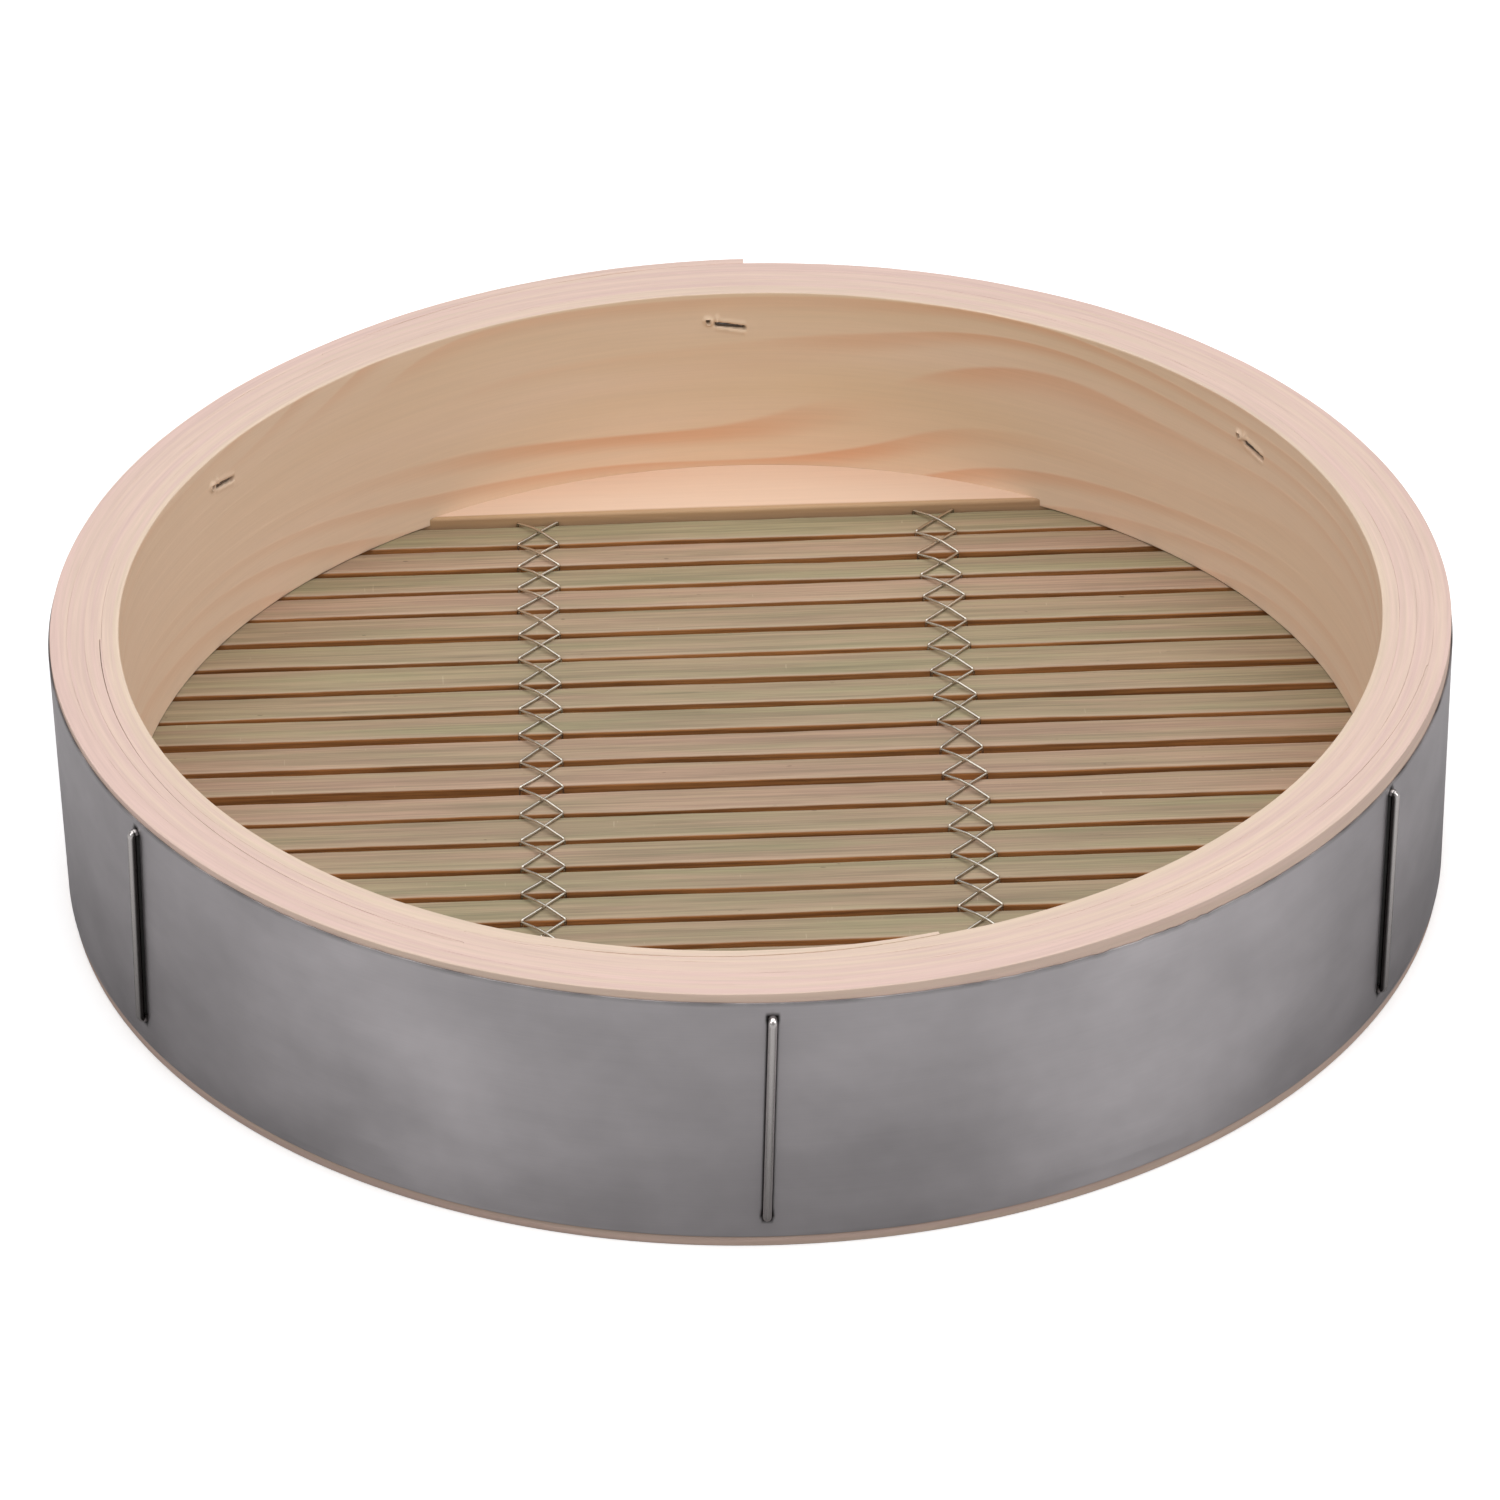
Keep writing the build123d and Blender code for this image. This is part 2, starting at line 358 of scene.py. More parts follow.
def path_length(path: Array) -> Array:
    """Length along a path at each of its points."""
    return np.concatenate([[0], np.cumsum(np.linalg.norm(np.diff(path, axis=0), axis=1))])


def wire_surface(path: Array, size: float | Array, radius: float, sides: int) -> tuple[Array, Array]:
    """A round tube about a path, its ring planes turned as little as the path lets them.

    Each ring's first direction is the last one with its part along the new tangent removed;
    the passage is summed as small turns in one pass over the stations, not over vertices.

    Args:
        path: The centre line, one row a station.
        size: The tube's radius, one number or one for each station.
        radius: The wire's full radius, which the strip coordinates are laid out by.
        sides: Points round each ring.

    Returns:
        The vertices, and their strip coordinates: along the wire, round it, and 0.
    """
    tangent = np.gradient(path, axis=0)
    tangent /= np.linalg.norm(tangent, axis=1, keepdims=True)
    normal = np.empty_like(tangent)
    start = np.cross(tangent[0], [0.3, 0.2, 0.9])
    normal[0] = start / np.linalg.norm(start)
    for station in range(1, len(path)):
        moved = normal[station - 1] - tangent[station] * (normal[station - 1] @ tangent[station])
        normal[station] = moved / np.linalg.norm(moved)
    other = np.cross(tangent, normal)
    angle = np.linspace(0, 2 * np.pi, sides, endpoint=False)
    turn_one, turn_two = np.cos(angle)[None, :, None], np.sin(angle)[None, :, None]
    ring = turn_one * normal[:, None] + turn_two * other[:, None]
    points = path[:, None] + np.broadcast_to(size, (len(path),))[:, None, None] * ring
    around = np.arange(sides) * 2 * np.pi * radius / sides
    return points.reshape(-1, 3), vertex_rows(path_length(path)[:, None], around, 0.0)


# ---------------------------------------------------------------- finishes


class NodeBench:
    """A small workbench that adds and joins shader nodes in one tree."""

    def __init__(self, tree: bpy.types.NodeTree) -> None:
        """Keeps the tree that is worked on."""
        self.tree = tree

    def add(self, kind: str, **settings: object) -> bpy.types.Node:
        """Adds a node and sets its properties."""
        node = self.tree.nodes.new(f"ShaderNode{kind}")
        for key, value in settings.items():
            setattr(node, key, value)
        return node

    def feed(self, socket: Socket, source: object) -> None:
        """Joins a source socket to an input, or sets the input to a plain value."""
        if isinstance(source, Socket):
            self.tree.links.new(source, socket)
        else:
            socket.default_value = source

    def through(self, node: bpy.types.Node, *sources: object) -> Socket:
        """Feeds a node's first inputs in order, and returns its first output."""
        for socket, source in zip(node.inputs, sources):
            self.feed(socket, source)
        return node.outputs[0]

    def math(self, operation: str, *sources: object, clamp: bool = False) -> Socket:
        """A Math node's result from sockets or numbers."""
        return self.through(self.add("Math", operation=operation, use_clamp=clamp), *sources)

    def times(self, first: object, second: object, clamp: bool = False) -> Socket:
        """A product."""
        return self.math("MULTIPLY", first, second, clamp=clamp)

    def plus(self, first: object, second: object, clamp: bool = False) -> Socket:
        """A sum."""
        return self.math("ADD", first, second, clamp=clamp)

    def swing(self, value: Socket, reach: object) -> Socket:
        """How far a value of 0 to 1 is off its middle, times a reach."""
        return self.times(self.math("SUBTRACT", value, 0.5), reach)

    def blend(self, first: Socket, share: float, second: Socket) -> Socket:
        """A share of one value and the rest of another."""
        return self.plus(self.times(first, share), self.times(second, round(1 - share, 2)))

    def noise(self, vector: Socket, scale: Triple, detail: float = 2.0, roughness: float = 0.5,
              shift: Triple = (0.0, 0.0, 0.0)) -> Socket:
        """Noise of about 0 to 1, with its own scale along each direction."""
        node = self.add("TexNoise")
        placed = self.through(self.add("VectorMath", operation="MULTIPLY_ADD"), vector, scale, shift)
        self.feed(node.inputs["Vector"], placed)
        for key, value in (("Scale", 1.0), ("Detail", detail), ("Roughness", roughness)):
            node.inputs[key].default_value = value
        return node.outputs["Fac"]

    def ramp(self, source: Socket, low: float, high: float,
             to_low: float = 0.0, to_high: float = 1.0) -> Socket:
        """A smooth step of a value from one range to another, held beyond it."""
        node = self.add("MapRange", interpolation_type="SMOOTHSTEP", clamp=True)
        return self.through(node, source, low, high, to_low, to_high)

    def mix(self, share: object, first: object, second: object) -> Socket:
        """Two colours mixed by a share."""
        node = self.add("Mix", data_type="RGBA")
        for index, source in ((0, share), (6, first), (7, second)):
            self.feed(node.inputs[index], source)
        return node.outputs[2]

    def brightness(self, colour: Socket, factor: Socket) -> Socket:
        """A colour multiplied by one number."""
        node = self.add("VectorMath", operation="SCALE")
        self.feed(node.inputs["Scale"], factor)
        return self.through(node, colour)


class GroupBench(NodeBench):
    """A workbench on a new shader node group with named inputs and the three surface outputs."""

    def __init__(self, name: str, colours: tuple[str, ...], numbers: dict[str, float]) -> None:
        """Makes the group and its sockets.

        Args:
            name: The group's name.
            colours: Names of its colour inputs.
            numbers: Default value of each of its number inputs.
        """
        super().__init__(bpy.data.node_groups.new(name, "ShaderNodeTree"))
        sockets = [("Vector", "INPUT", "Vector")]
        sockets += [(key, "INPUT", "Color") for key in colours]
        sockets += [(key, "INPUT", "Float") for key in numbers]
        sockets += [("Color", "OUTPUT", "Color"), ("Roughness", "OUTPUT", "Float"),
                    ("Height", "OUTPUT", "Float")]
        for key, way, kind in sockets:
            socket = self.tree.interface.new_socket(key, in_out=way, socket_type=f"NodeSocket{kind}")
            if way == "INPUT" and key in numbers:
                socket.default_value = numbers[key]
        self.given = self.tree.nodes.new("NodeGroupInput").outputs
        self.result = self.tree.nodes.new("NodeGroupOutput").inputs

    def finish(self, colour: Socket, roughness: Socket, height: Socket) -> None:
        """Joins what the group puts out."""
        for key, source in (("Color", colour), ("Roughness", roughness), ("Height", height)):
            self.feed(self.result[key], source)


def softwood_group() -> None:
    """Flat-sawn softwood in strip coordinates: x along the grain, y up the board, z through it.

    Growth rings are level lines of a slowly warped distance across the board, so they open into
    long flames that Figure brings out. Fibres are noise drawn out along x. Where Cut is 1 the
    board's sanded edge shows instead, finely streaked, from cream to rose by Tone; on the hoop it
    is paler, on the plate darker browns paint shade onto its upright edge. The darkening input
    mixes in painted shade, dark brown, inside a hole or a groove.
    """
    bench = GroupBench(
        "softwood", ("Pale", "Warm", "Late", "Cream", "Rose"),
        {"Cut": 0.0, "Tone": 0.5, "Figure": 1.0, "Dark": 0.0, "Ring spacing": 0.006, "Flame": 0.5,
         "Fibre": 0.5})
    given = bench.given
    place = given["Vector"]
    split = bench.add("SeparateXYZ")
    bench.through(split, place)
    warp = bench.noise(place, (3.2, 11, 11), detail=1.6, roughness=0.4)
    across = bench.plus(split.outputs[1], bench.times(split.outputs[2], 2.2))
    distance = bench.plus(across, bench.swing(warp, 0.11))
    ring = bench.math("FRACT", bench.math("DIVIDE", distance, given["Ring spacing"]))
    late = bench.times(bench.ramp(ring, 0.34, 0.88), bench.ramp(ring, 0.90, 1.0, 1.0, 0.0))
    patch = bench.ramp(bench.noise(place, (3.4, 34, 34), shift=(7.1, 0, 3)), 0.36, 0.60)
    shown = bench.times(given["Flame"], given["Figure"])
    late_share = bench.times(bench.times(late, patch), shown, clamp=True)
    blotch = bench.noise(place, (4.5, 26, 26), detail=3, shift=(0, 5.3, 0))
    blush = bench.times(bench.ramp(blotch, 0.3, 0.72), given["Figure"])
    board = bench.mix(late_share, bench.mix(blush, given["Pale"], given["Warm"]), given["Late"])
    tint = bench.noise(place, (6, 300, 500), detail=3, shift=(2, 1, 6))
    rosy = bench.plus(given["Tone"], bench.swing(tint, 2.6), clamp=True)
    edge_grain = bench.mix(rosy, given["Cream"], given["Rose"])
    figured = bench.mix(given["Cut"], board, edge_grain)
    fibre = bench.noise(place, (38, 1500, 1500), detail=3, roughness=0.6)
    streak = bench.noise(place, (13, 620, 620), detail=2.5)
    swing = bench.swing(bench.blend(fibre, 0.55, streak), given["Fibre"])
    swing = bench.times(swing, bench.math("MULTIPLY_ADD", given["Cut"], 1.8, 1.0))
    clean = bench.brightness(figured, bench.plus(swing, 1.0))
    # Painted shade: dark brown mixed in where a hole or a groove is hollow.
    soiled = bench.mix(given["Dark"], clean, SOILED_WOOD)
    bench.finish(soiled, bench.ramp(fibre, 0.2, 0.8, 0.66, 0.54), bench.blend(fibre, 0.6, late))


def bamboo_group() -> None:
    """Split bamboo, skin side up: x along the slat, with a skin mask and a tone for each slat.

    The skin is khaki with drawn-out streaks, small dark specks and pale scratches; below it the
    flesh is orange-brown with coarser fibre bundles. A painted highlight lightens the skin along
    the front edge by Rim.
    """
    bench = GroupBench("split_bamboo", ("Green", "Pink", "Flesh"), {"Skin": 1.0, "Rim": 0.0, "Tone": 0.5})
    given = bench.given
    place = given["Vector"]
    drift = bench.noise(place, (17, 230, 230), detail=3.5, roughness=0.6)
    tint = bench.plus(given["Tone"], bench.swing(drift, 2.2), clamp=True)
    streak = bench.noise(place, (26, 1700, 1700), detail=3.5, roughness=0.65)
    vein = bench.noise(place, (13, 520, 520), detail=2.5, shift=(3, 0, 1))
    lean = bench.blend(streak, 0.6, vein)
    skin = bench.brightness(bench.mix(tint, given["Green"], given["Pink"]),
                            bench.ramp(lean, 0.34, 0.66, 0.78, 1.20))
    speck = bench.noise(place, (300, 900, 900), detail=1, shift=(0, 9, 0))
    dotted = bench.noise(place, (18, 60, 60), shift=(2, 2, 2))
    spot = bench.times(bench.ramp(speck, 0.745, 0.80), bench.ramp(dotted, 0.5, 0.62))
    smudge = bench.noise(place, (26, 330, 330), detail=3, shift=(5, 1, 4))
    mark = bench.math("MAXIMUM", spot, bench.times(bench.ramp(smudge, 0.66, 0.80), 0.55))
    scratch = bench.noise(place, (1500, 160, 160), detail=1, shift=(1, 4, 8))
    for share, strength, colour in (
        (mark, 0.62, BAMBOO_SPECK),
        (bench.ramp(scratch, 0.785, 0.81), 0.30, BAMBOO_SCRATCH),
        # painted highlight on the front edge
        (given["Rim"], 0.75, BAMBOO_RIM),
    ):
        skin = bench.mix(bench.times(share, strength), skin, colour)
    bundle = bench.noise(place, (22, 900, 900), detail=3, roughness=0.7)
    flesh = bench.brightness(given["Flesh"], bench.ramp(bundle, 0.30, 0.70, 0.6, 1.3))
    bench.finish(bench.mix(given["Skin"], flesh, skin), bench.ramp(streak, 0.2, 0.8, 0.56, 0.40),
                 bench.math("SUBTRACT", lean, bench.times(mark, 0.3)))


def drawn_steel_group() -> None:
    """Bare steel worked along x: drawn-out fine lines, slow clouding, and a dark colour mixed in by the
    last mask, which paints contact shade and, on the band, a darker line along its upper edge.
    """
    bench = GroupBench("drawn_steel", ("Steel",), {"Cloud": 0.1, "Line": 0.1, "Polish": 0.3, "Stain": 0.0})
    given = bench.given
    place = given["Vector"]
    line = bench.noise(place, (16, 2600, 2600), detail=3, roughness=0.7)
    cloud = bench.noise(place, (22, 30, 30), detail=4, roughness=0.6, shift=(4, 2, 0))
    grit = bench.noise(place, (1800, 1800, 1800), detail=1.5)
    swing = bench.plus(bench.swing(cloud, given["Cloud"]), bench.swing(line, given["Line"]))
    bright = bench.brightness(given["Steel"], bench.plus(swing, 1.0))
    wear = bench.plus(bench.swing(cloud, 0.14), bench.swing(line, 0.12))
    # The last mask mixes in painted contact shade and the band's darker upper edge line.
    bench.finish(bench.mix(given["Stain"], bright, GRIME),
                 bench.plus(given["Polish"], wear), bench.blend(line, 0.7, grit))


class Coordinates(Enum):
    """Where a finish reads its place from."""

    STRIP = "strip"
    OBJECT = "object"


@dataclass(frozen=True)
class Finish:
    """One material: a surface group, its values, and the shader's own constants.

    Args:
        name: The material's name.
        group: The surface group that it is made from.
        coordinates: Strip coordinates from the mesh, or the object's own.
        values: Input values of the group by socket name.
        attributes: Group inputs that read a vertex attribute of the same name in lower case.
        metallic: 1 for bare metal, 0 for wood.
        bump_depth: Height of the relief in metres.
        specular: The shader's specular level.
        brushed: Anisotropy of a surface worked round the axis, which spreads light up and down.
    """

    name: str
    group: str
    coordinates: Coordinates
    values: dict[str, object] = field(default_factory=dict)
    attributes: tuple[str, ...] = ()
    metallic: float = 0.0
    bump_depth: float = 0.08 * MM
    specular: float = 0.35
    brushed: float = 0.0

    def make(self) -> bpy.types.Material:
        """A material whose shader reads colour, roughness and relief from the group."""
        material = bpy.data.materials.new(self.name)
        material.use_nodes = True
        bench = NodeBench(material.node_tree)
        shader = material.node_tree.nodes["Principled BSDF"]
        surface = bench.add("Group", node_tree=bpy.data.node_groups[self.group])
        if self.coordinates is Coordinates.STRIP:
            place = bench.add("Attribute", attribute_name="strip").outputs["Vector"]
        else:
            place = bench.add("TexCoord").outputs["Object"]
        bench.feed(surface.inputs["Vector"], place)
        for key, value in self.values.items():
            surface.inputs[key].default_value = value
        for key in self.attributes:
            read = bench.add("Attribute", attribute_name=key.lower())
            bench.feed(surface.inputs[key], read.outputs["Fac"])
        bump = bench.add("Bump")
        bump.inputs["Strength"].default_value = 1.0
        bump.inputs["Distance"].default_value = self.bump_depth
        bench.feed(bump.inputs["Height"], surface.outputs["Height"])
        for key, source in (
            ("Base Color", surface.outputs["Color"]),
            ("Roughness", surface.outputs["Roughness"]),
            ("Normal", bump.outputs["Normal"]),
            ("Metallic", self.metallic),
            ("Specular IOR Level", self.specular),
            ("Anisotropic", self.brushed),
            ("Anisotropic Rotation", 0.25 if self.brushed else 0.0),
        ):
            bench.feed(shader.inputs[key], source)
        return material


FINISHES = {
    "hoop": Finish(
        "planed_cypress", "softwood", Coordinates.STRIP,
        {"Pale": (0.84, 0.64, 0.485, 1), "Warm": (0.77, 0.57, 0.375, 1),
         "Late": (0.74, 0.40, 0.23, 1), "Cream": (0.69, 0.545, 0.43, 1),
         "Rose": (0.665, 0.485, 0.43, 1), "Ring spacing": 0.0080, "Flame": 0.85, "Fibre": 0.17},
        attributes=("Cut", "Tone", "Figure", "Dark"), specular=0.25,
    ),
    "plate": Finish(
        "planed_plate", "softwood", Coordinates.OBJECT,
        {"Pale": (0.78, 0.58, 0.445, 1), "Warm": (0.78, 0.545, 0.40, 1),
         # On the plate Cream and Rose are darker browns: painted shade on its upright straight edge.
         "Late": (0.72, 0.40, 0.25, 1), "Cream": (0.52, 0.34, 0.19, 1), "Rose": (0.46, 0.29, 0.17, 1),
         "Ring spacing": 0.011, "Flame": 0.3, "Fibre": 0.12},
        attributes=("Cut",), specular=0.25,
    ),
    "slat": Finish(
        "split_bamboo", "split_bamboo", Coordinates.OBJECT,
        {"Green": (0.300, 0.258, 0.155, 1), "Pink": (0.385, 0.262, 0.185, 1),
         "Flesh": (0.38, 0.165, 0.055, 1)},
        attributes=("Skin", "Rim", "Tone"), specular=0.4, bump_depth=0.12 * MM,
    ),
    "crossbar": Finish(
        "crossbar_wood", "softwood", Coordinates.STRIP,
        {"Pale": (0.42, 0.22, 0.09, 1), "Warm": (0.36, 0.17, 0.06, 1),
         "Late": (0.26, 0.11, 0.04, 1), "Ring spacing": 0.004, "Flame": 0.5, "Fibre": 0.4},
    ),
    "band": Finish(
        "rolled_steel", "drawn_steel", Coordinates.STRIP,
        {"Steel": (0.61, 0.575, 0.59, 1), "Cloud": 0.55, "Line": 0.12, "Polish": 0.50},
        attributes=("Stain",), metallic=1.0, bump_depth=0.004 * MM, brushed=0.7,
    ),
    "staple": Finish(
        "bright_wire", "drawn_steel", Coordinates.STRIP,
        {"Steel": (0.76, 0.71, 0.695, 1), "Cloud": 0.12, "Line": 0.15, "Polish": 0.27},
        attributes=("Stain",), metallic=1.0, bump_depth=0.008 * MM,
    ),
    "lashing": Finish(
        "lashing_wire", "drawn_steel", Coordinates.STRIP,
        {"Steel": (0.62, 0.58, 0.51, 1), "Cloud": 0.9, "Line": 0.3, "Polish": 0.25},
        metallic=1.0, bump_depth=0.006 * MM,
    ),
}


def make_finishes() -> dict[str, bpy.types.Material]:
    """The shared surface groups, then every material by the short name that the classes use."""
    softwood_group()
    bamboo_group()
    drawn_steel_group()
    return {key: finish.make() for key, finish in FINISHES.items()}


# ---------------------------------------------------------------- the staples


@dataclass(frozen=True)
class StaplePlace:
    """Where one staple was driven: azimuth of its top, lean of its foot, height above the rest."""

    name: str
    azimuth: float
    lean: float = 1.0
    lift: float = 0.0


@dataclass
class StapleSet:
    """Six wire staples: a long crown outside, two legs through the wall, two sunk prongs."""

    finish: bpy.types.Material
    radius: float = 1.0 * MM
    drop: float = 2.9 * MM
    sides: int = 20
    crown_top: float = 61.4 * MM
    crown_foot: float = 8.6 * MM
    prong_drop: float = 1.3 * MM
    prong_length: float = 6.9 * MM
    prong_rise: float = 0.5 * MM
    low_ring: float = 0.7 * MM
    places: tuple[StaplePlace, ...] = (
        StaplePlace("front", -90.4, 0.7), StaplePlace("front_right", -31.0, 0.6),
        StaplePlace("back_right", 32.4), StaplePlace("back", 91.3),
        StaplePlace("back_left", 150.1), StaplePlace("front_left", 211.4, 1.2, 1.4 * MM),
    )

    @property
    def exit_height(self) -> float:
        """Height at which an unlifted staple's upper leg comes out of the inner wall."""
        return self.crown_top - self.drop

    def build(self) -> None:
        """Builds and settles every staple."""
        for place in self.places:
            settle(self.staple(place), f"staple_{place.name}")

    def distance(self, radius: float, azimuth: Array, height: Array) -> Array:
        """Distance over the band from the nearest crown's middle line, less at its two holes.

        At the holes the groove and the painted shade round the wire widen; the lower hole's ring of
        painted shade reaches a little below the wire that goes into it.

        Args:
            radius: The band's radius.
            azimuth: Azimuths in degrees.
            height: Heights.

        Returns:
            The shortest of the distances to the six crowns.
        """
        nearest = np.full(np.broadcast(azimuth, height).shape, 1.0)
        for place in self.places:
            top, foot = self.crown_top + place.lift, self.crown_foot + place.lift
            share = np.clip((height - foot) / (top - foot), 0, 1)
            middle = place.azimuth - place.lean * (1 - share)
            beside = np.radians(degrees_apart(azimuth, middle)) * radius
            beyond = np.maximum(np.maximum(height - top, foot - self.low_ring - height), 0)
            from_end = np.minimum(np.abs(height - top), np.abs(height - foot))
            hole = 0.35 * MM * bell(from_end, 1.3 * MM)
            nearest = np.minimum(nearest, np.hypot(beside, beyond) - hole)
        return nearest

    def staple(self, place: StaplePlace) -> Piece:
        """One staple: a wire carried along prong, leg, crown, leg and prong.

        The prongs taper to their cut ends. Painted shade darkens the wire along the sides that lie against
        the band, and along its legs and prongs in the wall.

        Args:
            place: Where it was driven.

        Returns:
            The staple's object.
        """
        reach = np.hypot(*node_points(f"staple_{place.name}").T[:2])
        crown, prong = reach.max() - self.radius, reach.min() + self.radius
        low_azimuth = place.azimuth - place.lean
        top, foot = self.crown_top + place.lift, self.crown_foot + place.lift
        bend = math.degrees(self.prong_length / prong)
        sunk = prong + self.prong_rise
        corners = np.vstack([
            polar(sunk, place.azimuth - bend, top - self.drop - self.prong_drop),
            polar(prong, place.azimuth, top - self.drop),
            polar(crown, place.azimuth, top),
            polar(crown, low_azimuth, foot),
            polar(prong, low_azimuth, foot - self.drop),
            polar(sunk, low_azimuth - bend, foot - self.drop - self.prong_drop),
        ])
        path = soften(guard_corners(corners, 2.6 * MM), 4)
        run = path_length(path)
        from_end = np.minimum(run, run[-1] - run)
        size = self.radius * np.interp(from_end, [0, 0.4 * MM, 6 * MM, 8.5 * MM], [0.30, 0.45, 0.65, 1.0])
        points, strip = wire_surface(path, size, self.radius, self.sides)
        middle = np.repeat(np.hypot(path[:, 0], path[:, 1]), self.sides)
        outward = (np.hypot(points[:, 0], points[:, 1]) - middle) / self.radius
        # Painted shade: the legs in the wall a little dark, the prongs in their grooves darker, and on the
        # crown the sides that face the band dark.
        in_wall = np.where(middle < prong + 2.0 * MM, 0.8, 0.4)
        on_crown = np.clip((0.46 - outward) / 0.16, 0, 0.96)
        stain = np.where(middle > crown - 0.6 * MM, on_crown, in_wall)
        return solid_piece(f"staple_{place.name}_wire", points, len(path), self.finish, strip, crease=60,
                           stain=stain)


# ---------------------------------------------------------------- the hoop


@dataclass(frozen=True)
class Ply:
    """A strip wound past a full turn, whose two ends are pared to wedges that lie together.

    Angles along the winding are in degrees from 0 at its inner end to 360 + lap at its outer
    end. Radii are straight between knots: the inner end's wedge opens over the lap, and the
    outer end lies on it and closes over the same lap.

    Args:
        node: The CAD node that it stands for.
        layer: Its layer, from 0 inside to 3 outside.
        start: Azimuth of its inner end in degrees.
        turn: The way it is wound, 1 or -1.
        lap: How far its ends lie over each other in degrees.
        inner_tip: Thickness of the inner end.
        outer_tip: Thickness of the outer end.
        inner_step: How far the inner end stands inside the strip's own inner face.
        outer_step: How far the outer end stands outside its outer face.
        gap: The open glue line between the two ends.
    """

    node: str
    layer: int
    start: float
    turn: int
    lap: float
    inner_tip: float = 0.3 * MM
    outer_tip: float = 0.3 * MM
    inner_step: float = 0.0
    outer_step: float = 0.0
    gap: float = 0.05 * MM

    @property
    def length(self) -> float:
        """The whole winding's angle in degrees."""
        return 360 + self.lap

    def faces(self) -> tuple[float, float]:
        """Radii of the inner and the outer face, from the hoop's outer plies' boxes."""
        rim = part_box(RIM_NODE)[1].x
        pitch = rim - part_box("hoop_inner_ply")[1].x
        outside = rim - (3 - self.layer) * pitch
        return outside - pitch, outside

    def radii(self, angle: Array) -> tuple[Array, Array]:
        """Radii of the strip's inner and outer surface at angles along the winding."""
        inside, outside = self.faces()
        start, tip = inside - self.inner_step, outside + self.outer_step
        wedge = start + self.inner_tip
        inner = np.interp(angle, [0, self.lap, 359.9, 360, self.length],
                          [start, inside, inside, wedge + self.gap, tip - self.outer_tip])
        outer = np.interp(angle, [0, self.lap, self.lap + 0.1, 360, self.length],
                          [wedge, tip - self.outer_tip - self.gap, outside, outside, tip])
        return inner, outer

    def azimuth(self, angle: Array) -> Array:
        """Azimuth in degrees at an angle along the winding."""
        return self.start + self.turn * angle


